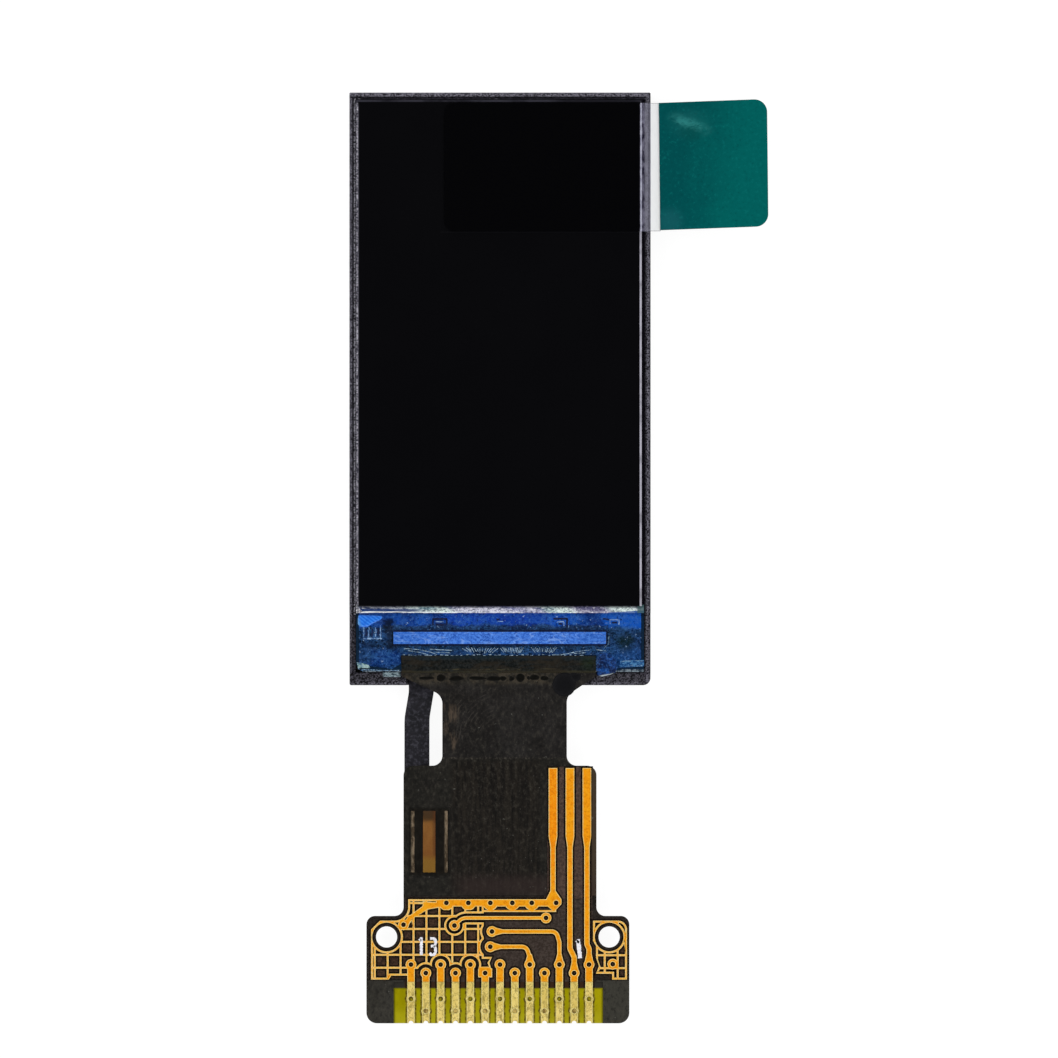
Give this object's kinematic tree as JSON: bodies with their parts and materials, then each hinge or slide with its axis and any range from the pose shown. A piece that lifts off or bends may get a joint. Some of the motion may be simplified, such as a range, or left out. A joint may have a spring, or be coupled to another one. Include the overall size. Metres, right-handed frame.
{
  "type": "tft display module",
  "caption": "Small flat colour display panel with a flexible printed circuit tail for soldering and a pull tab on its screen.",
  "frame": {"origin": "centre of the module's flat rear face, which lies on the table", "axes": "+Z out of the screen, +Y towards the end of the module away from the flexible circuit, +X to the right as seen from the front"},
  "size_m": [0.0197, 0.0439, 0.0016],
  "materials": {
    "frame_plastic": "matte, fine grain",
    "reflector_silver": "silvery white film",
    "clear_acrylic": "clear",
    "frosted_film": "frosted",
    "prism_film": "finely ribbed",
    "black_tape": "matte",
    "led_white": "satin",
    "phosphor_yellow": "smooth",
    "solder_tin": "bright",
    "strip_black": "satin",
    "polarizer_dark": "glossy",
    "panel_glass": "polished",
    "clear_film": "clear, glossy",
    "bond_film": "satin",
    "silicon_blue": "polished",
    "sealant_blue": "glossy resin",
    "amber_film": "glossy",
    "black_coverlay": "satin",
    "front_coverlay": "satin, see-through amber",
    "copper": "rolled copper under amber film",
    "pale_land": "satin",
    "black_glue": "smooth",
    "green_film": "satin"
  },
  "bodies": {
    "root": {"array_glass": "panel_glass", "backlight_flex": "strip_black", "backlight_frame": "frame_plastic", "chip_bond_film": "bond_film", "diffuser_film": "frosted_film", "driver_chip": "silicon_blue", "filter_glass": "panel_glass", "flex_base_film": "amber_film", "flex_bond_film": "bond_film", "flex_front_coverlay": "front_coverlay", "flex_rear_coverlay": "black_coverlay", "front_polarizer": "polarizer_dark", "glue_spot": "black_glue", "ground_copper": "copper", "ground_mesh_right": "copper", "joint_pad_1": "copper", "joint_pad_2": "copper", "joint_solder_1": "solder_tin", "joint_solder_2": "solder_tin", "led_housing": "led_white", "led_joint_left": "solder_tin", "led_joint_right": "solder_tin", "led_phosphor": "phosphor_yellow", "ledge_sealant": "sealant_blue", "light_guide_plate": "clear_acrylic", "lower_prism_film": "prism_film", "pin_01": "copper", "pin_02": "copper", "pin_03": "copper", "pin_04": "copper", "pin_05": "copper", "pin_06": "copper", "pin_07": "copper", "pin_09": "copper", "pin_10": "copper", "pin_11": "copper", "pin_12": "copper", "protective_film": "clear_film", "pull_tab_grip": "green_film", "pull_tab_tape": "clear_film", "rear_polarizer": "polarizer_dark", "reflector_film": "reflector_silver", "rim_tape": "black_tape", "sense_trace": "copper", "tail_land": "copper", "tail_side_land_left": "pale_land", "tail_side_land_right": "pale_land", "upper_prism_film": "prism_film"}
  },
  "joints": []
}
